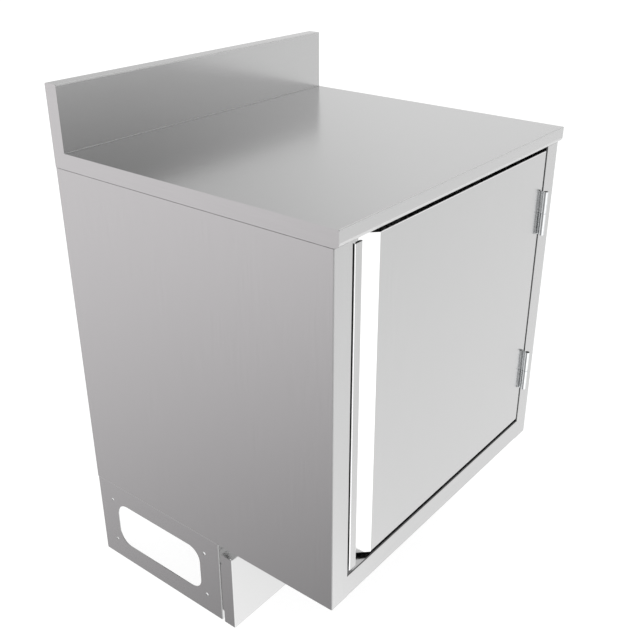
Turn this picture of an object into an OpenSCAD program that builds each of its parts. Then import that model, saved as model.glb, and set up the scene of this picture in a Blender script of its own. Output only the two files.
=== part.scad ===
// Underbar storage cabinet in folded stainless sheet: a worktop with a back splash and a rounded nosing,
// a framed cabinet with one inset door on lift-off hinges, and a set-back base open at the back.
// Millimetres, +Z up, +X to the right of someone facing the door, +Y to the back. The origin lies on the
// floor, under the middle of the whole width and depth.

/* [Cabinet] */
// Overall width
cab_w = 609.6; // [450:1:900]
// Depth from the face frame to the back
cab_d = 533.4; // [480:1:700]
// Height of the worktop above the floor
top_z = 762; // [700:1:950]
// Thickness of the cabinet sheet
sheet_t = 1.2; // [0.8:0.1:2]
// Inside radius of a bend in the sheet
bend_r = 0.4; // [0.3:0.1:2]
// Width of each upright of the face frame
stile_w = 38.1; // [30:0.1:60]
// Height of the bottom rail of the face frame
rail_h = 40; // [30:0.5:60]
// Depth of the returns behind the face frame
return_d = 25.4; // [24:0.1:40]
// Width of the lip that ends a return
lip_w = 9; // [5:0.5:12]
// Width of the flanges that join the panels
flange_w = 25.4; // [20:0.1:35]
// Height of the turned-down edges of the floor and the shelf
pan_h = 20; // [12:0.5:28]

/* [Worktop] */
// Thickness of the worktop sheet
top_t = 1.5; // [1:0.1:2]
// How far the nosing stands in front of the face frame
nosing_out = 7; // [3:0.5:9]
// Height of the nosing and of the closed ends of the worktop
nosing_h = 25.4; // [22:0.1:50]
// Outside radius under the nosing
nosing_r = 9; // [4:0.5:12]
// How far the nosing turns in behind the face
nosing_turn = 14; // [12:0.5:16]
// Shadow gap between the worktop and the panels below it
seam_gap = 0.6; // [0.5:0.1:2.5]
// Height of the back splash above the worktop
splash_h = 101.6; // [50:0.1:300]
// Thickness of the back splash
splash_t = 25.4; // [15:0.1:50]
// Inside bend radius along the top of the splash
splash_r = 0.8; // [0.5:0.1:4]
// Radius in the corner between the worktop and the splash
cove_r = 0.8; // [0.5:0.1:6]
// Width of the crown of a channel under the worktop
channel_w = 30; // [20:1:60]
// Width of each foot of a channel
channel_foot = 12; // [12:1:20]
// Distance from the face to the front channel
front_channel_y = 18; // [18:1:60]
// Distance from the back to the rear channel
rear_channel_y = 60; // [40:1:120]

/* [Door] */
// Thickness of the closed door
door_t = 22.2; // [18:0.1:23]
// Thickness of the door sheets
door_sheet_t = 1.2; // [0.8:0.1:1.5]
// Gap beside the door at the pull
gap_pull = 4; // [2:0.1:6]
// Gap above the door
gap_top = 7; // [5:0.1:10]
// Gap below the door
gap_bottom = 6.5; // [3:0.1:10]
// Width of the lip in front of the finger groove
pull_lip_w = 16.7; // [14:0.1:20]
// Width of the opening of the finger groove
pull_open_w = 37; // [32:0.1:60]
// Overall thickness of the folded edge of the lip
hem_t = 4.4; // [3.6:0.1:5]
// How far the folded edge reaches back behind the lip
hem_w = 11; // [6:0.5:13]
// Width of the stiffener inside the door
stiffener_w = 80; // [40:1:120]
// Width of each foot of the stiffener
stiffener_foot = 15; // [8:1:30]
// Depth of the flanges along the top and bottom of the door back
back_turn = 12; // [6:0.5:14]

/* [Hinges] */
// Height of a hinge
hinge_h = 76.2; // [60:0.1:90]
// Distance from the end of the door to the middle of its hinge
hinge_inset = 107; // [60:1:150]
// Diameter of the hinge barrel
barrel_d = 8.8; // [8:0.1:10]
// Distance of the barrel's axis in front of the face
barrel_out = 6.5; // [6:0.1:8]
// Diameter of the hinge pin
pin_d = 5; // [4:0.1:5.5]
// Radial clearance of the pin in the turning knuckle
pin_fit = 0.05; // [0.02:0.01:0.1]
// Thickness of a hinge leaf
leaf_t = 1.4; // [1.2:0.1:2]
// Depth of a hinge leaf behind the face
leaf_w = 19; // [16:0.5:19]
// Clear gap between the two leaves
leaf_gap = 0.4; // [0.3:0.1:1]
// Thickness of the washer between the knuckles
washer_t = 1; // [0.5:0.1:2]
// Thickness of the closed end of a knuckle
knuckle_end = 3; // [2.5:0.1:4]
// Diameter of the cap let into the end of a knuckle
cap_d = 7; // [6:0.1:7.4]
// Thickness of that cap
cap_t = 1.2; // [0.8:0.1:1.8]
// Diameter of the hinge screws
hinge_screw_d = 3; // [2.5:0.1:3.4]
// Height between the outer hinge screws
hinge_screw_pitch = 52; // [40:0.5:54]
// Thickness of the tapped plates behind the hinges
tap_plate_t = 3; // [2:0.1:5]

/* [Catch] */
// Distance from the side of the cabinet to the middle of the catch
catch_x = 150; // [140:1:200]
// Width of the catch
catch_w = 46; // [36:1:60]
// Height of the magnet housing
catch_h = 18; // [12:0.5:24]
// Depth of the magnet housing
catch_d = 10; // [8:0.5:12]
// Thickness of the strike plate on the door
strike_t = 1.5; // [1:0.1:2]
// Gap between the strike plate and the magnet
catch_gap = 0.3; // [0.3:0.1:1]

/* [Shelf] */
// Height of the shelf above the cabinet floor
shelf_up = 262; // [150:1:400]
// Depth of the shelf
shelf_d = 400; // [300:1:430]
// Width of the ledges that carry the shelf
ledge_w = 18; // [15:0.5:24]
// Gap between the shelf and what stands beside it
shelf_gap = 0.3; // [0.3:0.1:1]

/* [Base] */
// Height of the base under the cabinet
base_h = 165.1; // [140:0.1:200]
// Thickness of the base sheet
base_t = 1.5; // [1:0.1:2]
// How far the base sides stand in from the cabinet sides
base_in = 0.8; // [0:0.1:3]
// How far the base sides stand in from the back
base_back_in = 0; // [0:0.5:10]
// Distance from the ends of a base side to its cut-out
cut_margin = 46.5; // [42:0.5:60]
// Height of the cut-out in a base side
cut_h = 88.9; // [60:0.1:100]
// Corner radius of the cut-out
cut_r = 25.4; // [10:0.1:28]
// Height of the middle of the cut-out above the floor
cut_z = 82.5; // [70:0.5:90]
// Distance from the ends of a base side to the holes beside its cut-out
hole_margin = 34.25; // [28:0.25:36]
// Spacing of the holes beside the cut-out, up the height
hole_pitch_z = 88.9; // [60:0.1:100]
// Diameter of the holes beside the cut-out
hole_d = 6.4; // [4:0.1:9]
// Distance from the face frame to the kick panel
kick_y = 205.5; // [150:0.5:210]
// Gap between the kick panel and the cabinet
kick_gap = 20; // [5:0.5:40]
// Depth of the turned-back edges of the kick panel
kick_turn = 23.5; // [15:0.5:24]
// Gap between these edges and the base sides
kick_clear = 4.9; // [2:0.1:10]
// How far the kick panel stands in from the cabinet sides
kick_in = 1.3; // [0:0.1:4]
// Open seam at the upper corners of the kick panel
kick_seam = 1.3; // [0.5:0.1:3]
// Height of the kick panel brackets
bracket_h = 100; // [60:1:120]

/* [Fasteners] */
// Diameter of the bolts between cabinet and base
bolt_d = 6; // [5:1:8]
// Diameter of the small pan-head screws
screw_d = 4; // [3:0.5:5]
// Clearance of a screw or bolt in its hole, on the radius
hole_fit = 0.25; // [0.15:0.05:0.5]

/* [Hidden] */

// Colours of the sheet, the hinges, the fasteners and the catch
steel = [0.78, 0.78, 0.79];
chrome = [0.86, 0.87, 0.88];
zinc = [0.62, 0.62, 0.64];
white_plastic = [0.92, 0.92, 0.9];
black_nylon = [0.08, 0.08, 0.08];

// Steps in a tight bend and in a wide one
bend_steps = 5;
wide_steps = 14;
round_fn = 40;
// Overrun of a cutting tool
over = 1;

// The whole depth runs from the front of the hinge barrels, or of the nosing, to the back
front_reach = max(nosing_out, barrel_out + barrel_d / 2);
face_y = (front_reach - cab_d) / 2;

// Levels
panel_top = top_z - nosing_h - seam_gap;
floor_z = base_h + rail_h;
shelf_z = floor_z + shelf_up;
deck_under = top_z - top_t;

// The door and its hinges, measured from the left side of the cabinet and from the face
hinge_gap = 2 * leaf_t + leaf_gap;
door_x0 = stile_w + gap_pull;
door_x1 = cab_w - stile_w - hinge_gap;
door_z0 = floor_z + gap_bottom;
door_z1 = top_z - nosing_h - gap_top;
door_w = door_x1 - door_x0;
groove_x0 = door_x0 + pull_lip_w;
groove_x1 = groove_x0 + pull_open_w;
groove_d = door_t - 2 * door_sheet_t;
door_back_y = door_t - door_sheet_t;
hinge_x = cab_w - stile_w - hinge_gap / 2;
hinge_z_low = door_z0 + hinge_inset;
hinge_z_high = door_z1 - hinge_inset;
knuckle_h = (hinge_h - washer_t) / 2;
// Running gap above the washer
washer_gap = 0.1;
screw_y = leaf_w * 0.6;
head_d = hinge_screw_d * 1.7;
head_h = hinge_screw_d * 0.4;

// The base, measured from the face
base_y0 = kick_y + kick_turn + kick_clear;
base_y1 = cab_d - base_back_in;
base_mid_y = (base_y0 + base_y1) / 2;
cut_w = base_y1 - base_y0 - 2 * cut_margin;
hole_pitch_y = base_y1 - base_y0 - 2 * hole_margin;
kick_top = base_h - kick_gap;
bolt_x = flange_w * 0.6;
bolt_ends = 32;

// The catch hangs from the front channel, just behind the door
catch_y = door_t + strike_t + catch_gap;
catch_z0 = door_z1 - catch_h - 3;

// Vectors
function unit(v) = v / norm(v);
function left_of(v) = [-v[1], v[0]];
function turn(u, v) = u[0] * v[1] - u[1] * v[0];
function spun(v, a) = [v[0] * cos(a) - v[1] * sin(a), v[0] * sin(a) + v[1] * cos(a)];
function reversed(p) = [for (i = [len(p) - 1 : -1 : 0]) p[i]];
function bend(r, i) = is_list(r) ? r[i - 1] : r;
function steps(r) = r > 5 ? wide_steps : bend_steps;

// A path moved to its left by d, with mitred corners
function shifted(p, d) = [
    for (i = [0 : len(p) - 1])
        let (last = len(p) - 1,
             u = i == 0 ? unit(p[1] - p[0]) : unit(p[i] - p[i - 1]),
             v = i == last ? u : unit(p[i + 1] - p[i]),
             m = left_of(u) + left_of(v))
        p[i] + m * (2 * d / (m * m))
];

// Points of the arc of radius r that rounds the corner b of a path from a to c
function corner(a, b, c, r) =
    let (u = unit(b - a),
         v = unit(c - b),
         side = turn(u, v) > 0 ? 1 : -1,
         angle = acos(max(-1, min(1, u * v))),
         start = b - u * (r * tan(angle / 2)),
         centre = start + left_of(u) * (r * side),
         n = steps(r))
    [for (k = [0 : n]) centre + spun(start - centre, side * angle * k / n)];

// A path with its corners rounded: by r plus grow_left where it turns left, and by r plus grow_right
// where it turns right
function rounded(p, r, grow_left, grow_right) = [
    p[0],
    for (i = [1 : len(p) - 2])
        let (left = turn(p[i] - p[i - 1], p[i + 1] - p[i]) > 0)
        each corner(p[i - 1], p[i], p[i + 1], bend(r, i) + (left ? grow_left : grow_right)),
    p[len(p) - 1]
];

// Outline of a folded sheet of thickness t: p runs along its outer face and the sheet lies to the left,
// bent with inside radius r, or a list of them
function folded(p, t, r) = concat(rounded(p, r, t, 0), reversed(rounded(shifted(p, t), r, 0, t)));

// Puts what is measured from the left side and the face in the part's frame
module from_corner() translate([-cab_w / 2, face_y, 0]) children();

// The same on the right side, mirrored
module right_hand() mirror([1, 0, 0]) children();

// A folded sheet whose outline lies in the plan view
module upright_fold(p, t, r, z0, z1) translate([0, 0, z0]) linear_extrude(z1 - z0) polygon(folded(p, t, r));

// A folded sheet whose outline lies in the side view, as [y, z], from x0 to x1
module crosswise_fold(p, t, r, x0, x1)
    translate([x0, 0, 0]) rotate([90, 0, 90]) linear_extrude(x1 - x0) polygon(folded(p, t, r));

// A folded sheet whose outline lies in the front view, as [x, z], from y0 to y1
module lengthwise_fold(p, t, r, y0, y1)
    translate([0, y1, 0]) rotate([90, 0, 0]) linear_extrude(y1 - y0) polygon(folded(p, t, r));

// A square-cornered plate between two corners
module plate(a, b) translate(a) cube(b - a);

// Round rods along the axes, centred on c in the other two directions
module rod_x(c, x0, x1, d) translate([x0, c[1], c[2]]) rotate([0, 90, 0]) cylinder(d = d, h = x1 - x0, $fn = round_fn);
module rod_y(c, y0, y1, d) translate([c[0], y1, c[2]]) rotate([90, 0, 0]) cylinder(d = d, h = y1 - y0, $fn = round_fn);
module rod_z(c, z0, z1, d) translate([c[0], c[1], z0]) cylinder(d = d, h = z1 - z0, $fn = round_fn);

// Pan-head screw that points up, with the underside of its head at z = 0
module pan_screw(d, length) {
    cylinder(d = d, h = length, $fn = round_fn);
    translate([0, 0, -d * 0.3]) cylinder(d = d * 2, h = d * 0.3, $fn = round_fn);
    translate([0, 0, -d * 0.6]) cylinder(d1 = d * 1.3, d2 = d * 2, h = d * 0.3, $fn = round_fn);
}

// Hexagon-head bolt that points up, with the underside of its head at z = 0
module hex_bolt(d, length) {
    cylinder(d = d, h = length, $fn = round_fn);
    translate([0, 0, -d * 0.65]) cylinder(d = d * 1.9, h = d * 0.65, $fn = 6);
}

// Hexagon nut from z = 0 up
module hex_nut(d) difference() {
    cylinder(d = d * 1.9, h = d * 0.8, $fn = 6);
    translate([0, 0, -over]) cylinder(d = d + 2 * hole_fit, h = d * 0.8 + 2 * over, $fn = round_fn);
}

// The worktop: one sheet folded into splash, deck and nosing
top_path = [
    [cab_d, top_z - nosing_h],
    [cab_d, top_z + splash_h],
    [cab_d - splash_t, top_z + splash_h],
    [cab_d - splash_t, top_z],
    [-nosing_out, top_z],
    [-nosing_out, top_z - nosing_h],
    [nosing_turn, top_z - nosing_h]
];
top_bends = [splash_r, splash_r, cove_r, bend_r, nosing_r - top_t];

module worktop() color(steel) from_corner()
    crosswise_fold(top_path, top_t, top_bends, top_t, cab_w - top_t);

// The plate that closes the left end of deck and splash
module worktop_end() color(steel) from_corner()
    rotate([90, 0, 90]) linear_extrude(top_t) polygon(rounded(top_path, top_bends, top_t, 0));

// Places of the screws through the feet of a channel, along the depth from the channel's front
channel_feet = [channel_foot / 2, 1.5 * channel_foot + channel_w];
channel_screw_x = flange_w * 0.5;
// The channels run from one closed end of the worktop to the other
channel_x0 = top_t + shelf_gap;

// A channel under the worktop: its crown carries the deck and its feet stand on the side panels
module deck_channel(y) color(steel) from_corner() difference() {
    crosswise_fold([
        [y, panel_top],
        [y + channel_foot, panel_top],
        [y + channel_foot, deck_under - sheet_t],
        [y + channel_foot + channel_w, deck_under - sheet_t],
        [y + channel_foot + channel_w, panel_top],
        [y + 2 * channel_foot + channel_w, panel_top]
    ], sheet_t, bend_r, channel_x0, cab_w - channel_x0);
    channel_screw_holes(y);
}

// Holes in both ends of a channel's feet and in the flanges below them
module channel_screw_holes(y)
    for (foot = channel_feet, x = [channel_screw_x, cab_w - channel_screw_x])
        rod_z([x, y + foot], panel_top - 2 * sheet_t, panel_top + 2 * sheet_t, screw_d + 2 * hole_fit);

rear_channel_front = cab_d - rear_channel_y - 2 * channel_foot - channel_w;

module channel_screws() color(zinc) from_corner()
    for (y = [front_channel_y, rear_channel_front], foot = channel_feet,
         x = [channel_screw_x, cab_w - channel_screw_x])
        translate([x, y + foot, panel_top - sheet_t]) pan_screw(screw_d, 3 * sheet_t);

// Places of the bolts between cabinet and base, along the depth
bolt_ys = [base_y0 + bolt_ends, base_mid_y, base_y1 - bolt_ends];

// Outside radius of a bend in the cabinet sheet
sheet_bend = bend_r + sheet_t;

// Left side of the cabinet: web, stile with its return and lip, and flanges on the other three edges
module side_panel() color(steel) from_corner() difference() {
    union() {
        upright_fold([
            [flange_w, cab_d],
            [0, cab_d],
            [0, 0],
            [stile_w, 0],
            [stile_w, return_d],
            [stile_w - lip_w, return_d]
        ], sheet_t, bend_r, base_h, panel_top);
        lengthwise_fold([
            [flange_w, panel_top],
            [0, panel_top],
            [0, base_h],
            [flange_w, base_h]
        ], sheet_t, bend_r, sheet_t + bend_r, cab_d - 2 * sheet_t - bend_r);
        // The bend of the stile is welded up and ground square where the bottom rail meets it
        plate([stile_w - sheet_bend, 0, base_h], [stile_w, sheet_bend, floor_z - sheet_bend]);
    }
    for (y = bolt_ys) rod_z([bolt_x, y], base_h - over, base_h + 2 * sheet_t, bolt_d + 2 * hole_fit);
    channel_screw_holes(front_channel_y);
    channel_screw_holes(rear_channel_front);
}

// The right side panel has the hinge screw holes in its return
module right_side() difference() {
    right_hand() side_panel();
    color(steel) from_corner() hinge_screw_holes(cab_w - stile_w - over, cab_w - stile_w + 2 * sheet_t);
}

// Back panel, seated on the inside of the side panels' rear flanges
back_y1 = cab_d - sheet_t;
back_y0 = back_y1 - sheet_t;
module back_panel() color(steel) from_corner()
    crosswise_fold([
        [back_y0 - pan_h, base_h + sheet_t + bend_r],
        [back_y1, base_h + sheet_t + bend_r],
        [back_y1, panel_top - sheet_t - bend_r],
        [back_y0 - pan_h, panel_top - sheet_t - bend_r]
    ], sheet_t, bend_r, 2 * sheet_t + bend_r, cab_w - 2 * sheet_t - bend_r);

// Bottom rail of the face frame
module bottom_rail() color(steel) from_corner()
    crosswise_fold([
        [return_d, floor_z - lip_w],
        [return_d, floor_z],
        [0, floor_z],
        [0, base_h],
        [return_d, base_h]
    ], sheet_t, bend_r, stile_w, cab_w - stile_w);

// A shallow pan with turned-down edges: hems under the sides, plain flanges front and back
module pan(x0, x1, y0, y1, z1, hem) {
    lengthwise_fold([
        [x1 - hem, z1 - pan_h],
        [x1, z1 - pan_h],
        [x1, z1],
        [x0, z1],
        [x0, z1 - pan_h],
        [x0 + hem, z1 - pan_h]
    ], sheet_t, bend_r, y0 + sheet_t + bend_r, y1 - sheet_t - bend_r);
    crosswise_fold([
        [y1, z1 - pan_h],
        [y1, z1],
        [y0, z1],
        [y0, z1 - pan_h]
    ], sheet_t, bend_r, x0 + sheet_t + bend_r, x1 - sheet_t - bend_r);
}

module cabinet_floor() color(steel) from_corner()
    pan(sheet_t, cab_w - sheet_t, return_d, back_y0, floor_z, lip_w);

// The shelf lifts out: it stands on the ledges by its hems
shelf_y1 = back_y0 - shelf_gap;
module shelf() color(steel) from_corner()
    pan(sheet_t + shelf_gap, cab_w - sheet_t - shelf_gap, shelf_y1 - shelf_d, shelf_y1, shelf_z, lip_w);

// Angle on the side panel under the shelf
module shelf_ledge() color(steel) from_corner()
    lengthwise_fold([
        [ledge_w, shelf_z - pan_h],
        [sheet_t, shelf_z - pan_h],
        [sheet_t, shelf_z - pan_h - ledge_w]
    ], sheet_t, bend_r, shelf_y1 - shelf_d, shelf_y1);

// Left side of the base: a shallow tray on edge, with a cut-out for pipes and four holes round it
module base_side() color(steel) from_corner() difference() {
    union() {
        upright_fold([
            [base_in + flange_w, base_y1],
            [base_in, base_y1],
            [base_in, base_y0],
            [base_in + flange_w, base_y0]
        ], base_t, bend_r, base_t + bend_r, base_h - base_t - bend_r);
        lengthwise_fold([
            [base_in + flange_w, base_h],
            [base_in, base_h],
            [base_in, 0],
            [base_in + flange_w, 0]
        ], base_t, bend_r, base_y0 + base_t + bend_r, base_y1 - base_t - bend_r);
    }
    base_cut_out();
    for (y = [-1, 1] * hole_pitch_y / 2, z = [-1, 1] * hole_pitch_z / 2)
        rod_x([0, base_mid_y + y, cut_z + z], base_in - over, base_in + base_t + over, hole_d);
    for (y = bolt_ys) rod_z([bolt_x, y], base_h - 2 * base_t, base_h + over, bolt_d + 2 * hole_fit);
    kick_screw_holes();
}

module base_cut_out()
    translate([base_in - over, base_mid_y, cut_z]) rotate([90, 0, 90])
        linear_extrude(base_t + 2 * over) {
            square([cut_w - 2 * cut_r, cut_h], center = true);
            square([cut_w, cut_h - 2 * cut_r], center = true);
            for (y = [-1, 1] * (cut_w / 2 - cut_r), z = [-1, 1] * (cut_h / 2 - cut_r))
                translate([y, z]) circle(cut_r, $fn = round_fn);
        }

module base_bolts() color(zinc) {
    left_base_bolts();
    right_hand() left_base_bolts();
}
module left_base_bolts() from_corner()
    for (y = bolt_ys) translate([bolt_x, y, base_h - base_t]) hex_bolt(bolt_d, base_t + sheet_t + bolt_d);

module base_nuts() color(zinc) {
    left_base_nuts();
    right_hand() left_base_nuts();
}
module left_base_nuts() from_corner()
    for (y = bolt_ys) translate([bolt_x, y, base_h + sheet_t]) hex_nut(bolt_d);

// Kick panel: face with turned-back sides and top, open at the upper corners
module kick_panel() color(steel) from_corner() {
    difference() {
        upright_fold([
            [kick_in, kick_y + kick_turn],
            [kick_in, kick_y],
            [cab_w - kick_in, kick_y],
            [cab_w - kick_in, kick_y + kick_turn]
        ], sheet_t, bend_r, 0, kick_top);
        plate([kick_in + sheet_bend + kick_seam, kick_y - over, kick_top - sheet_bend],
              [cab_w - kick_in - sheet_bend - kick_seam, kick_y + sheet_bend, kick_top + over]);
    }
    crosswise_fold([
        [kick_y + kick_turn, kick_top],
        [kick_y, kick_top],
        [kick_y, kick_top - 2 * sheet_bend]
    ], sheet_t, bend_r, kick_in + sheet_bend + kick_seam, cab_w - kick_in - sheet_bend - kick_seam);
}

// Bracket between the left base side and the kick panel
bracket_x0 = kick_in + sheet_t;
bracket_x1 = base_in + flange_w - base_t;
bracket_z0 = (kick_top - bracket_h) / 2;
kick_screw_x = (bracket_x0 + bracket_x1) / 2 + bend_r;
kick_screw_zs = [bracket_z0 + bracket_h * 0.2, bracket_z0 + bracket_h * 0.8];

module kick_bracket() color(steel) from_corner() difference() {
    upright_fold([
        [bracket_x1, base_y0],
        [bracket_x0, base_y0],
        [bracket_x0, kick_y + sheet_bend]
    ], base_t, bend_r, bracket_z0, bracket_z0 + bracket_h);
    kick_screw_holes();
}

module kick_screw_holes()
    for (z = kick_screw_zs)
        rod_y([kick_screw_x, 0, z], base_y0 - 2 * base_t, base_y0 + 2 * base_t, screw_d + 2 * hole_fit);

module kick_screws() color(zinc) {
    left_kick_screws();
    right_hand() left_kick_screws();
}
module left_kick_screws() from_corner()
    for (z = kick_screw_zs)
        translate([kick_screw_x, base_y0 - base_t, z]) rotate([-90, 0, 0]) pan_screw(screw_d, 2 * base_t + screw_d);

module kick_nuts() color(zinc) {
    left_kick_nuts();
    right_hand() left_kick_nuts();
}
module left_kick_nuts() from_corner()
    for (z = kick_screw_zs)
        translate([kick_screw_x, base_y0 + base_t, z]) rotate([-90, 0, 0]) hex_nut(screw_d);

// Door front: one sheet folded from the hem of the lip, round the lip, across the bottom of the finger
// groove, up its sloping wall, over the face and round the hinge edge. Where the path turns back on
// itself, at the lip, its outer face is the one that looks into the groove.
door_bend = bend_r + door_sheet_t;
hem_r = (hem_t - 2 * door_sheet_t) / 2 - 0.05;
door_path = [
    [groove_x0 - hem_w, hem_t - door_sheet_t],
    [groove_x0 - door_sheet_t, hem_t - door_sheet_t],
    [groove_x0 - door_sheet_t, door_sheet_t],
    [door_x0 + door_sheet_t, door_sheet_t],
    [door_x0 + door_sheet_t, groove_d],
    [groove_x1 - groove_d, groove_d],
    [groove_x1, 0],
    [door_x1, 0],
    [door_x1, door_t]
];
door_bends = [hem_r, hem_r, bend_r, bend_r, bend_r, bend_r, bend_r];

// The flanges along the top and bottom of the face start beside the groove
flange_x0 = groove_x1 + door_bend;
flange_x1 = door_x1 - door_bend;

module door_front() color(steel) from_corner() difference() {
    union() {
        difference() {
            upright_fold(door_path, door_sheet_t, door_bends, door_z0, door_z1);
            for (z = [door_z0 - over, door_z1 - door_bend])
                plate([flange_x0, -over, z], [flange_x1, door_bend, z + door_bend + over]);
        }
        crosswise_fold([
            [door_t, door_z1],
            [0, door_z1],
            [0, door_z0],
            [door_t, door_z0]
        ], door_sheet_t, bend_r, flange_x0, flange_x1);
        for (z = [door_z0, door_z1 - door_sheet_t]) translate([0, 0, z]) groove_gusset();
    }
    hinge_screw_holes(door_x1 - 2 * door_sheet_t, door_x1 + over);
}

// The end of a door flange that reaches over to the sloping wall of the groove
module groove_gusset() {
    wall_middle = groove_x1 + door_sheet_t * sqrt(2) / 2;
    linear_extrude(door_sheet_t) polygon([
        [wall_middle - door_sheet_t, door_sheet_t],
        [flange_x0 + over, door_sheet_t],
        [flange_x0 + over, door_back_y],
        [wall_middle - door_back_y, door_back_y]
    ]);
}

// Door back: a cover nested in the flanges of the front
module door_back() color(steel) from_corner() {
    plate([door_x0, door_back_y, door_z0 + door_sheet_t], [flange_x0 + door_bend, door_t, door_z1 - door_sheet_t]);
    crosswise_fold([
        [door_t - back_turn, door_z0 + door_sheet_t],
        [door_t, door_z0 + door_sheet_t],
        [door_t, door_z1 - door_sheet_t],
        [door_t - back_turn, door_z1 - door_sheet_t]
    ], door_sheet_t, bend_r, flange_x0 + door_sheet_t, door_x1 - door_sheet_t);
}

// Upright hat section between the two door sheets
module door_stiffener() color(steel) from_corner() {
    mid = (groove_x1 + door_x1) / 2;
    crown_y = 2 * door_sheet_t;
    upright_fold([
        [mid + stiffener_w / 2 + stiffener_foot, door_back_y],
        [mid + stiffener_w / 2, door_back_y],
        [mid + stiffener_w / 2, crown_y],
        [mid - stiffener_w / 2, crown_y],
        [mid - stiffener_w / 2, door_back_y],
        [mid - stiffener_w / 2 - stiffener_foot, door_back_y]
    ], door_sheet_t, bend_r, door_z0 + 2 * door_bend, door_z1 - 2 * door_bend);
}

// Places of the hinges and of the screws in a leaf
hinge_zs = [hinge_z_low, hinge_z_high];
leaf_screw_zs = [-1, 0, 1] * hinge_screw_pitch / 2;
leaf_face = hinge_x + leaf_gap / 2;
door_leaf_face = hinge_x - leaf_gap / 2;
// The plain part of a leaf stays this far behind the other leaf's knuckle
leaf_relief = 1;
leaf_y0 = -barrel_out + barrel_d / 2 + leaf_relief;

// Clearance holes for the hinge screws, through what lies between x0 and x1
module hinge_screw_holes(x0, x1)
    for (zc = hinge_zs, z = leaf_screw_zs) rod_x([0, screw_y, zc + z], x0, x1, hinge_screw_d + 2 * hole_fit);

// Countersunk screw that points along +X, with the top of its head at x = 0
module flat_screw(length) rotate([0, 90, 0]) {
    cylinder(d = hinge_screw_d, h = length, $fn = round_fn);
    cylinder(d1 = head_d, d2 = hinge_screw_d, h = head_h, $fn = round_fn);
}

// The cuts for one hinge's countersunk screws, from the face of a leaf along +X
module leaf_screw_cuts()
    for (z = leaf_screw_zs) translate([0, screw_y, z]) rotate([0, 90, 0]) {
        translate([0, 0, -over]) cylinder(d = hinge_screw_d + 2 * hole_fit, h = leaf_t + 2 * over, $fn = round_fn);
        cylinder(d1 = head_d + 2 * pin_fit, d2 = hinge_screw_d + 2 * pin_fit, h = head_h, $fn = round_fn);
        translate([0, 0, -over]) cylinder(d = head_d + 2 * pin_fit, h = over, $fn = round_fn);
    }

// One leaf with its knuckle below the middle of the hinge, drawn round the pin's axis with the middle of
// the hinge at z = 0. It lies on the side of +X. gap is left between the knuckle and the washer.
module hinge_leaf(gap) {
    z0 = -hinge_h / 2;
    z1 = z0 + knuckle_h - gap;
    difference() {
        union() {
            rod_z([0, 0], z0, z1, barrel_d);
            plate([leaf_gap / 2, 0, z0], [leaf_gap / 2 + leaf_t, barrel_out, z1]);
            plate([leaf_gap / 2, barrel_out + leaf_y0, z0], [leaf_gap / 2 + leaf_t, barrel_out + leaf_w, -z0]);
        }
        rod_z([0, 0], z0 + knuckle_end, z1 + over, pin_d + 2 * pin_fit);
        rod_z([0, 0], z0 - over, z0 + cap_t, cap_d + 2 * pin_fit);
        translate([leaf_gap / 2, barrel_out, 0]) leaf_screw_cuts();
    }
}

// Puts what is drawn round a hinge's axis at one of the hinges
module at_hinge(z) from_corner() translate([hinge_x, -barrel_out, z]) children();

module frame_leaf(z) color(chrome) at_hinge(z) hinge_leaf(0);

// The door's leaf is the same piece turned over, so that its knuckle lies above
module door_leaf(z) color(chrome) at_hinge(z) rotate([0, 180, 0]) hinge_leaf(washer_gap);

module hinge_pin(z) color(chrome) at_hinge(z)
    rod_z([0, 0], -hinge_h / 2 + knuckle_end, hinge_h / 2 - knuckle_end - washer_gap, pin_d);

module hinge_washer(z) color(zinc) at_hinge(z) difference() {
    rod_z([0, 0], -washer_t / 2, washer_t / 2, barrel_d);
    rod_z([0, 0], -washer_t, washer_t, pin_d + 2 * hole_fit);
}

// Caps let into the closed ends of the knuckles, at the bottom on the frame leaves and on top on the door leaves
module hinge_caps(z0) color(black_nylon)
    for (z = hinge_zs) at_hinge(z) rod_z([0, 0], z0, z0 + cap_t, cap_d);

// Tapped plates that the hinge screws hold on to, behind the stile's return and inside the door's edge
tap_h = hinge_h - 8;
frame_tap_x = cab_w - stile_w + sheet_t;
door_tap_x = door_x1 - door_sheet_t - tap_plate_t;

module tap_plate(x, y0, y1, z) difference() {
    plate([x, y0, z - tap_h / 2], [x + tap_plate_t, y1, z + tap_h / 2]);
    for (dz = leaf_screw_zs)
        rod_x([0, screw_y, z + dz], x - over, x + tap_plate_t + over, hinge_screw_d + 2 * pin_fit);
}

module frame_tap_plates() color(zinc) from_corner()
    for (z = hinge_zs) tap_plate(frame_tap_x, sheet_t + 2 * bend_r, leaf_w + bend_r, z);

module door_tap_plates() color(zinc) from_corner()
    for (z = hinge_zs) tap_plate(door_tap_x, door_sheet_t + 2 * bend_r, door_back_y - bend_r, z);

module hinge_frame_screws() color(chrome) from_corner()
    for (zc = hinge_zs, z = leaf_screw_zs)
        translate([leaf_face, screw_y, zc + z]) flat_screw(leaf_t + sheet_t + tap_plate_t);

module hinge_door_screws() color(chrome) from_corner()
    for (zc = hinge_zs, z = leaf_screw_zs)
        translate([door_leaf_face, screw_y, zc + z]) mirror([1, 0, 0])
            flat_screw(leaf_t + door_sheet_t + tap_plate_t);

// The magnetic catch hangs from the front channel on an angle
catch_leg_y = catch_y + catch_d + sheet_t;
catch_screw_xs = [catch_x - catch_w * 0.35, catch_x + catch_w * 0.35];
catch_screw_y = front_channel_y + channel_foot / 2;
pole_t = 2;
pole_out = 0.5;
pole_w = catch_w * 0.7;

module catch_screw_holes()
    for (x = catch_screw_xs)
        rod_z([x, catch_screw_y], panel_top - 2 * sheet_t, panel_top + 2 * sheet_t, screw_d + 2 * hole_fit);

module front_channel() difference() {
    deck_channel(front_channel_y);
    color(steel) from_corner() catch_screw_holes();
}

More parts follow.
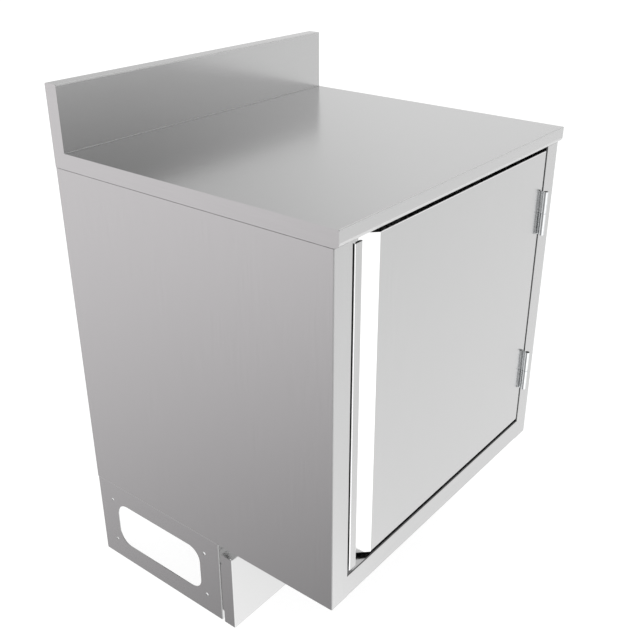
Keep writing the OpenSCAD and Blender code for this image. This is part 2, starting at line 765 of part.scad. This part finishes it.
module catch_bracket() color(steel) from_corner() difference() {
    crosswise_fold([
        [catch_leg_y, catch_z0],
        [catch_leg_y, panel_top],
        [front_channel_y, panel_top]
    ], sheet_t, bend_r, catch_x - catch_w / 2, catch_x + catch_w / 2);
    catch_screw_holes();
}

module catch_screws() color(zinc) from_corner()
    for (x = catch_screw_xs) translate([x, catch_screw_y, panel_top - sheet_t]) pan_screw(screw_d, 3 * sheet_t);

// Two steel poles stand a little out of the housing
module pole_bars()
    for (z = [0.3, 0.7] * catch_h)
        plate([catch_x - pole_w / 2, catch_y, catch_z0 + z - pole_t / 2],
              [catch_x + pole_w / 2, catch_y + catch_d - 2 * pole_t, catch_z0 + z + pole_t / 2]);

module catch_poles() color(zinc) from_corner() pole_bars();

module catch_housing() color(white_plastic) from_corner() difference() {
    translate([catch_x, catch_y + catch_d, catch_z0 + catch_h / 2]) rotate([90, 0, 0])
        linear_extrude(catch_d - pole_out) rounded_plate(catch_w, catch_h, 2);
    pole_bars();
}

// A rectangle with round corners, centred
module rounded_plate(w, h, r) {
    square([w - 2 * r, h], center = true);
    square([w, h - 2 * r], center = true);
    for (x = [-1, 1] * (w / 2 - r), y = [-1, 1] * (h / 2 - r)) translate([x, y]) circle(r, $fn = round_fn);
}

module strike_plate() color(zinc) from_corner()
    translate([catch_x, door_t + strike_t, catch_z0 + catch_h / 2]) rotate([90, 0, 0])
        linear_extrude(strike_t) rounded_plate(catch_w, catch_h - 2, 2);

worktop();
worktop_end();  // worktop_left_end
right_hand() worktop_end();  // worktop_right_end
front_channel();  // front_deck_channel
deck_channel(rear_channel_front);  // rear_deck_channel
channel_screws();
side_panel();  // left_side_panel
right_side();  // right_side_panel
back_panel();
bottom_rail();
cabinet_floor();
shelf();
shelf_ledge();  // left_shelf_ledge
right_hand() shelf_ledge();  // right_shelf_ledge
base_side();  // base_left_side
right_hand() base_side();  // base_right_side
base_bolts();
base_nuts();
kick_panel();
kick_bracket();  // kick_left_bracket
right_hand() kick_bracket();  // kick_right_bracket
kick_screws();
kick_nuts();
door_front();
door_back();
door_stiffener();
door_tap_plates();
frame_tap_plates();
frame_leaf(hinge_z_high);  // upper_hinge_frame_leaf
door_leaf(hinge_z_high);  // upper_hinge_door_leaf
hinge_pin(hinge_z_high);  // upper_hinge_pin
hinge_washer(hinge_z_high);  // upper_hinge_washer
frame_leaf(hinge_z_low);  // lower_hinge_frame_leaf
door_leaf(hinge_z_low);  // lower_hinge_door_leaf
hinge_pin(hinge_z_low);  // lower_hinge_pin
hinge_washer(hinge_z_low);  // lower_hinge_washer
hinge_frame_screws();
hinge_door_screws();
hinge_caps(-hinge_h / 2);  // hinge_frame_caps
hinge_caps(hinge_h / 2 - cap_t);  // hinge_door_caps
catch_bracket();
catch_housing();
catch_poles();
catch_screws();
strike_plate();
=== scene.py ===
# %% [markdown]
# # An underbar storage cabinet in brushed stainless steel
# The real object is a bar cabinet folded from thin stainless sheet: a worktop with a back splash, a box
# with a face frame, one framed door with a finger groove, and a set-back base. Its whole construction
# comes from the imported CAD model, so this script gives it what a CAD model lacks: finishes, light, a
# floor and a camera.

import bpy
import numpy as np
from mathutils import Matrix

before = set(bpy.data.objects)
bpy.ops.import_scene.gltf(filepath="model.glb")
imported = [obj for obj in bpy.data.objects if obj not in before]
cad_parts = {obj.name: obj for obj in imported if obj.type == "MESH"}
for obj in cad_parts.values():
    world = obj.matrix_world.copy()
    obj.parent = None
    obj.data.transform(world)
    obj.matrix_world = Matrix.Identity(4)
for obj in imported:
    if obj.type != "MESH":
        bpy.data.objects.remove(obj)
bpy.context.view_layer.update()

# %% [markdown]
# Colours are easiest to pick as sRGB hex values, as a paint program shows them, but shaders calculate
# with light, so one function turns each value to linear. A second one adds a node with its settings and
# its links, which keeps every material below short enough to read as a recipe.

# %% Two helpers for nodes
BLACK = (0.0, 0.0, 0.0, 1.0)
WHITE = (1.0, 1.0, 1.0, 1.0)


def linear(hex_colour):
    """Each channel: value / 12.92 up to 0.04045, and above it (value + 0.055) / 1.055 to the power 2.4."""
    channels = np.array([int(hex_colour[i : i + 2], 16) for i in (1, 3, 5)]) / 255
    light = np.where(channels <= 0.04045, channels / 12.92, ((channels + 0.055) / 1.055) ** 2.4)
    return (*light.tolist(), 1.0)


def add(tree, kind, inputs=None, **settings):
    """Adds one node. A value in inputs that is another node's socket is linked, and anything else is set."""
    node = tree.nodes.new("ShaderNode" + kind)
    for name, value in settings.items():
        setattr(node, name, value)
    for key, value in (inputs or {}).items():
        if isinstance(value, bpy.types.NodeSocket):
            tree.links.new(value, node.inputs[key])
        else:
            node.inputs[key].default_value = value
    return node


print("#808080 is", round(linear("#808080")[0], 3), "in linear light")

# %% [markdown]
# The camera stands to the left of the cabinet, above the worktop, and looks down across it. Its place
# and its turn were solved from the edges of the cabinet in the photograph, and its lens is close to a
# normal 50 mm one. The picture is square, so the width of the sensor holds the whole field of view.

# %% Camera
camera = bpy.data.objects.new("camera", bpy.data.cameras.new("camera"))
bpy.context.scene.collection.objects.link(camera)
camera.location = (-1.0862, -0.8610, 1.1339)
camera.rotation_euler = (1.10824, 0.00090, -0.89945)
camera.data.lens = 50.262
camera.data.sensor_width = 36.0
camera.data.clip_start, camera.data.clip_end = 0.05, 100.0
bpy.context.scene.camera = camera
bpy.context.scene.view_settings.view_transform = "Standard"
print("camera at", [round(v, 3) for v in camera.location], "with a lens of", camera.data.lens, "mm")

# %% [markdown]
# Brushed steel has hardly a colour of its own: what the eye reads on it is the room. A studio for steel
# is therefore a pale room with a few large soft cards, some brighter and some darker than the walls.
# Each card is a direction, given by compass angle (0 is behind the cabinet, 90 to its right) and height
# above the horizon, with a radius in which it is full and a wider one at which it has faded out. Most
# of the room stays near 1, so a colour renders about as it is written.
#
# The two shades overhead draw the dark pool on the worktop and the splash, and the dark floor lets the
# left side deepen towards its foot. The cards low in front light the finger groove and the kick panel.
# The wall on the left is a touch pink, as the side in the photograph is, and a small dark flag keeps the
# front edge of that side from glaring.

# %% Soft cards
WALL = 0.884
CARDS = [  # name, compass angle, height, full radius and faded radius in degrees, radiance
    ("left_wall", -43.0, -25.0, 12.0, 38.0, (0.911, 0.884, 0.899)),
    ("shade_behind", 28.8, 31.2, 1.0, 31.6, 0.542),
    ("shade_in_front", 143.6, 31.6, 1.0, 22.5, 0.02),
    ("dark_floor_left", -173.4, -76.5, 1.0, 89.2, 0.052),
    ("bright_card_front", -171.1, -51.3, 18.9, 65.3, 1.42),
    ("bright_floor_right", 92.1, -34.0, 1.0, 56.9, 1.023),
    ("floor_before_kick", 150.0, -50.0, 4.0, 22.0, 1.37),
    ("low_card_front", -165.0, -31.0, 16.0, 24.0, 1.4),
    ("dark_flag", -104.0, -23.0, 10.0, 14.0, 0.3),
]
print("cards:", ", ".join(card[0] for card in CARDS))

# %% [markdown]
# The room itself is the world. Its shader gets the direction that a ray leaves in, and the dot product
# of that with a card's own direction is the cosine of the angle between them. A smooth step from the
# faded radius to the full one turns the cosine into the card's share. The cards are laid over the wall
# and over each other in the order of the list.

# %% A pale room
def toward(compass, height):
    """The unit vector: x is sin(compass) cos(height), y is cos(compass) cos(height), z is sin(height)."""
    a, h = np.radians([compass, height])
    return np.array([np.sin(a) * np.cos(h), np.cos(a) * np.cos(h), np.sin(h)]).tolist()


world = bpy.data.worlds.new("soft_room")
bpy.context.scene.world = world
world.use_nodes = True
room = world.node_tree
room.nodes.clear()
direction = add(room, "TexCoord").outputs["Generated"]
tone = add(room, "RGB").outputs[0]
tone.default_value = (WALL, WALL, WALL, 1.0)
for name, compass, height, full, faded, radiance in CARDS:
    aim = toward(compass, height)
    cosine = add(room, "VectorMath", {0: direction, 1: aim}, operation="DOT_PRODUCT").outputs["Value"]
    rim, core = np.cos(np.radians([faded, full])).tolist()
    step = {"Value": cosine, "From Min": rim, "From Max": core}
    share = add(room, "MapRange", step, interpolation_type="SMOOTHSTEP", label=name).outputs["Result"]
    card_colour = (*np.broadcast_to(radiance, 3).tolist(), 1.0)
    tone = add(room, "MixRGB", {"Fac": share, "Color1": tone, "Color2": card_colour}).outputs[0]
background = add(room, "Background", {"Color": tone, "Strength": 1.0})
add(room, "OutputWorld", {"Surface": background.outputs[0]})
print("room with", len(CARDS), "soft cards on walls of", WALL)

# %% [markdown]
# The floor is a plain white sweep. It has a little glow of its own, as a lit table for product
# photographs has, and the rest of its brightness is light that falls on it, so the cabinet still leaves
# a faint shadow. The steel sees the lower half of the room instead of the table: the floor is hidden
# from glossy rays, and it throws no shadow on what the room lights from below.

# %% Floor
FLOOR_SIZE = 60.0
TABLE_GREY = (0.3, 0.3, 0.3, 1.0)
TABLE_GLOW = 0.86
corners = FLOOR_SIZE / 2 * np.array([(-1, -1, 0), (1, -1, 0), (1, 1, 0), (-1, 1, 0)])
floor_mesh = bpy.data.meshes.new("floor")
floor_mesh.from_pydata(corners.tolist(), [], [(0, 1, 2, 3)])
floor = bpy.data.objects.new("floor", floor_mesh)
bpy.context.scene.collection.objects.link(floor)
floor.visible_glossy = False
floor.visible_shadow = False
lit_table = bpy.data.materials.new("white_lit_table")
lit_table.use_nodes = True
tree = lit_table.node_tree
tree.nodes.clear()
sheet = add(tree, "BsdfDiffuse", {"Color": TABLE_GREY})
glow = add(tree, "Emission", {"Color": WHITE, "Strength": TABLE_GLOW})
both = add(tree, "AddShader", {0: sheet.outputs[0], 1: glow.outputs[0]})
add(tree, "OutputMaterial", {"Surface": both.outputs[0]})
floor_mesh.materials.append(lit_table)
print("floor", FLOOR_SIZE, "m wide")

# %% [markdown]
# The sheet is AISI 304 stainless with a No. 4 finish: a belt of 150 to 180 grit has run along it and
# left straight hairlines, which blur a reflection and give the steel its silky grey. New pieces are
# clean, with only faint cloudy differences in how deep the belt cut. A real hairline is about 0.05 mm
# wide, too fine to show in the render, so the grain is drawn some 1 mm wide and a few centimetres long,
# and very faint.

# %% Hairlines and clouds
GRAIN_WIDTH_MM = 0.9
GRAIN_LENGTH_MM = 60.0
CLOUD_MM = 90.0


def hairlines_and_clouds(tree, place, along):
    """Noise squeezed to the grain's width and stretched to its length along one axis, and a round noise."""
    squeeze = [1000 / GRAIN_WIDTH_MM] * 3
    squeeze["xyz".index(along)] = 1000 / GRAIN_LENGTH_MM
    stretched = add(tree, "Mapping", {"Vector": place, "Scale": squeeze}).outputs[0]
    grain = add(tree, "TexNoise", {"Vector": stretched, "Scale": 1.0, "Detail": 2.0, "Roughness": 0.6})
    cloud = add(tree, "TexNoise", {"Vector": place, "Scale": 1000 / CLOUD_MM, "Detail": 3.0})
    return grain.outputs["Fac"], cloud.outputs["Fac"]


print("grain", GRAIN_WIDTH_MM, "x", GRAIN_LENGTH_MM, "mm in clouds of", CLOUD_MM, "mm")

# %% [markdown]
# The belt rides flat on a sheet before it is folded, and the press then works the steel at every bend,
# so a bend has a gloss of its own, and its tone is painted: painted shade on most steels, painted light
# on the worktop and the door. A folded sheet lies square to the axes and its bends do not, so the
# object's own normal tells them apart: the largest of its three parts is 1 on a flat and drops to 0.71
# in the middle of a bend. This needs no extra shapes and holds from every side.

# %% Where a sheet bends
FLAT = 0.999
BENT = 0.98


def share_of_bend(tree, normal):
    """The largest part of the normal without its sign, mapped from FLAT, 0, to BENT and less, 1."""
    parts = add(tree, "VectorMath", {0: normal}, operation="ABSOLUTE").outputs[0]
    x, y, z = add(tree, "SeparateXYZ", {0: parts}).outputs
    most = add(tree, "Math", {0: x, 1: y}, operation="MAXIMUM").outputs[0]
    most = add(tree, "Math", {0: most, 1: z}, operation="MAXIMUM").outputs[0]
    return add(tree, "MapRange", {"Value": most, "From Min": FLAT, "From Max": BENT}).outputs[0]


print("a bend starts", round(float(np.degrees(np.arccos(BENT)))), "degrees off the flat")

# %% [markdown]
# Where two sheets meet, little light gets in, so the steel gets a painted shade over the last
# millimetres. Ambient occlusion measures how much open sky a point sees within a small reach: all of it
# on a flat, and half of it in a corner.

# %% Where two sheets meet
OCCLUSION_SAMPLES = 8


def painted_shade_at_joints(tree, colour, reach_mm):
    """A painted shade: the colour times the square of the share of open sky the point sees within the reach.
    """
    sky = add(tree, "AmbientOcclusion", {"Distance": reach_mm / 1000}, samples=OCCLUSION_SAMPLES)
    share = add(tree, "Math", {0: sky.outputs["AO"], 1: 2.0}, operation="POWER").outputs[0]
    return add(tree, "MixRGB", {"Fac": share, "Color1": BLACK, "Color2": colour}).outputs[0]


print("joints shaded with", OCCLUSION_SAMPLES, "samples")

# %% [markdown]
# The finish puts the three together. Stainless is a metal of a neutral grey, near #CECECE, and the
# blur of a No. 4 finish is a roughness of about 0.2. The hairlines move both a little, the clouds move
# the roughness only, and a very low bump lets the hairlines catch the light.

# %% Brushed stainless steel
GRAIN_COLOURS = ("#CCCCCC", "#D0D0D0")
GRAIN_ROUGHNESS = {"To Min": 0.18, "To Max": 0.22}
CLOUD_ROUGHNESS = {"To Min": -0.01, "To Max": 0.01}


def brushed_stainless(name, along, bend=None, painted_joint_shade_mm=0.0):
    """Colour and roughness follow the hairlines, and roughness also the clouds. along is x, y or z.

    bend is the painted tone and the roughness of the bends. Near another sheet, within the reach in mm, it
    gets a painted shade.
    """
    material = bpy.data.materials.new(name)
    material.use_nodes = True
    tree = material.node_tree
    steel = tree.nodes["Principled BSDF"]
    place = add(tree, "TexCoord").outputs
    grain, cloud = hairlines_and_clouds(tree, place["Object"], along)
    tones = add(tree, "ValToRGB", {"Fac": grain})
    for stop, position, tone in zip(tones.color_ramp.elements, (0.25, 0.75), GRAIN_COLOURS):
        stop.position, stop.color = position, linear(tone)
    colour = tones.outputs["Color"]
    grain_rough = add(tree, "MapRange", {"Value": grain, **GRAIN_ROUGHNESS}).outputs[0]
    cloud_rough = add(tree, "MapRange", {"Value": cloud, **CLOUD_ROUGHNESS}).outputs[0]
    rough = add(tree, "Math", {0: grain_rough, 1: cloud_rough}, operation="ADD").outputs[0]
    # The bends get a painted tone: painted shade on most steels, painted light on the worktop and the door.
    if bend:
        share = share_of_bend(tree, place["Normal"])
        colour = add(tree, "MixRGB", {"Fac": share, "Color1": colour, "Color2": linear(bend[0])}).outputs[0]
        rough = add(tree, "MapRange", {"Value": share, "To Min": rough, "To Max": bend[1]}).outputs[0]
    # Painted shade near the joints.
    if painted_joint_shade_mm:
        colour = painted_shade_at_joints(tree, colour, painted_joint_shade_mm)
    relief = add(tree, "Bump", {"Height": grain, "Strength": 0.02, "Distance": 0.0002}).outputs[0]
    tree.links.new(colour, steel.inputs["Base Color"])
    tree.links.new(rough, steel.inputs["Roughness"])
    tree.links.new(relief, steel.inputs["Normal"])
    steel.inputs["Metallic"].default_value = 1.0
    return material


# Plain sheets, where the grain alone shows: a silky grey with hairlines across, or upright.
grain_across = brushed_stainless("brushed_stainless_grain_across", "x")
grain_upright = brushed_stainless("brushed_stainless_grain_upright", "z")
print("plain steels:", grain_across.name, grain_upright.name)

# %% [markdown]
# The other sheets have bends that show, and each bend is seen against another light, so each gets its own
# painted tone, matched to the photograph: painted shade on most, painted light on the worktop and the
# door. Most are satin, because only the flats were belted. The door is the exception: hands and the
# polishing wheel reach its sloping groove and its lip, which keep a gloss, and their near white tone is a
# painted highlight.

# %% Steels with visible bends
# End plates and base sides: turned edges in a soft grey painted shade, with the hairlines running front to
# back.
grain_deep = brushed_stainless("brushed_stainless_grain_front_to_back", "y", ("#B8B8B8", 0.45))
# Worktop: painted light on the bends melts the nosing's edge into the deck, and painted shade at the joint
# keeps the cove below the splash from glinting.
top_steel = brushed_stainless("brushed_stainless_worktop", "x", ("#DADADA", 0.45), painted_joint_shade_mm=1.1)
# Bottom rail: painted shade on its upper edge behind the door, which reads as the gap under it.
rail_steel = brushed_stainless("brushed_stainless_rail", "x", ("#707070", 0.45), painted_joint_shade_mm=3.0)
# Left side: painted shade on the front corner, so that it shows no glaring line.
side_steel = brushed_stainless("brushed_stainless_left_side", "z", ("#B0B0B0", 0.55))
# Right side: painted shade on the edge beside the door, round the hinge barrels, which reads as the hinge
# gap.
hinge_side_steel = brushed_stainless(
    "brushed_stainless_hinge_side", "z", ("#505050", 0.55), painted_joint_shade_mm=2.0)
# Door front: a painted highlight on the groove's slope and the lip's rounds, which mirror the low light.
door_steel = brushed_stainless("stainless_door_front_painted_highlight", "z", ("#F0F0F0", 0.2))
print("bent steels:", grain_deep.name, top_steel.name, rail_steel.name, side_steel.name,
      hinge_side_steel.name, door_steel.name)

# %% [markdown]
# The hinges are steel with bright chrome on nickel. Chrome is nearly a mirror, a touch bluer than
# stainless, with faint polishing haze. The bolts, nuts and plates inside are zinc plated: duller,
# greyer, with the mottled crystals of the plating. The magnetic catch is a moulded block of pale ABS
# with a fine spark-eroded texture, and the caps of the hinge barrels are moulded black nylon.

# %% Chrome, zinc plate and moulded plastics
def mottled(name, colours, metallic, roughness, size_mm, bump):
    """A noise of the given size mixes two colours, moves the roughness between two values and adds bump."""
    material = bpy.data.materials.new(name)
    material.use_nodes = True
    tree = material.node_tree
    surface = tree.nodes["Principled BSDF"]
    place = add(tree, "TexCoord").outputs["Object"]
    noise = add(tree, "TexNoise", {"Vector": place, "Scale": 1000 / size_mm, "Detail": 3.0}).outputs["Fac"]
    tones = add(tree, "ValToRGB", {"Fac": noise})
    for stop, position, tone in zip(tones.color_ramp.elements, (0.3, 0.7), colours):
        stop.position, stop.color = position, linear(tone)
    low, high = roughness
    rough = add(tree, "MapRange", {"Value": noise, "To Min": low, "To Max": high}).outputs[0]
    relief = add(tree, "Bump", {"Height": noise, "Strength": bump, "Distance": 0.0001}).outputs[0]
    tree.links.new(tones.outputs["Color"], surface.inputs["Base Color"])
    tree.links.new(rough, surface.inputs["Roughness"])
    tree.links.new(relief, surface.inputs["Normal"])
    surface.inputs["Metallic"].default_value = metallic
    return material


# The haze of the last buffing wheel, some 6 mm wide, on an almost perfect mirror.
chrome = mottled("bright_chrome_plate", ("#DFE1E3", "#E8EAEB"), 1.0, (0.04, 0.09), 6.0, 0.02)
# Zinc crystals are finer than 1 mm, and drawn 2 mm wide so that they show: a cloudy bluish grey.
zinc = mottled("zinc_plated_steel", ("#B4B7BC", "#C4C6C8"), 1.0, (0.28, 0.42), 2.0, 0.1)
# The texture of a spark-eroded mould, a satin that hides finger marks.
plastic = mottled("moulded_abs", ("#DDDCD6", "#E2E1DC"), 0.0, (0.42, 0.5), 0.8, 0.2)
nylon = mottled("black_nylon", ("#151516", "#1D1D1E"), 0.0, (0.4, 0.5), 0.8, 0.1)
print("other finishes:", chrome.name, zinc.name, plastic.name, nylon.name)

# %% [markdown]
# Every CAD node now gets its finish. The steel pieces are listed by the way their grain runs, which on
# the real cabinet is along the length of the sheet each one was folded from: across on the worktop, the
# rail and the kick panel, upright on the sides and the door. A node that isn't listed is a small part
# of the fittings and is zinc plated.

# %% Finishes on the CAD nodes
FINISHES = {
    grain_across: [
        "kick_panel", "front_deck_channel", "rear_deck_channel", "cabinet_floor", "shelf", "catch_bracket"],
    grain_upright: ["back_panel", "door_back", "door_stiffener", "kick_left_bracket", "kick_right_bracket"],
    grain_deep: [
        "worktop_left_end", "worktop_right_end", "base_left_side", "base_right_side",
        "left_shelf_ledge", "right_shelf_ledge"],
    top_steel: ["worktop"],
    rail_steel: ["bottom_rail"],
    side_steel: ["left_side_panel"],
    hinge_side_steel: ["right_side_panel"],
    door_steel: ["door_front"],
    chrome: [
        "upper_hinge_frame_leaf", "upper_hinge_door_leaf", "upper_hinge_pin",
        "lower_hinge_frame_leaf", "lower_hinge_door_leaf", "lower_hinge_pin",
        "hinge_frame_screws", "hinge_door_screws"],
    plastic: ["catch_housing"],
    nylon: ["hinge_frame_caps", "hinge_door_caps"],
}
finish_of = {node: material for material, nodes in FINISHES.items() for node in nodes}
for name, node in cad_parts.items():
    for slot in node.material_slots:
        slot.material = finish_of.get(name, zinc)
print(len(finish_of), "nodes named,", len(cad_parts) - len(finish_of), "zinc plated")
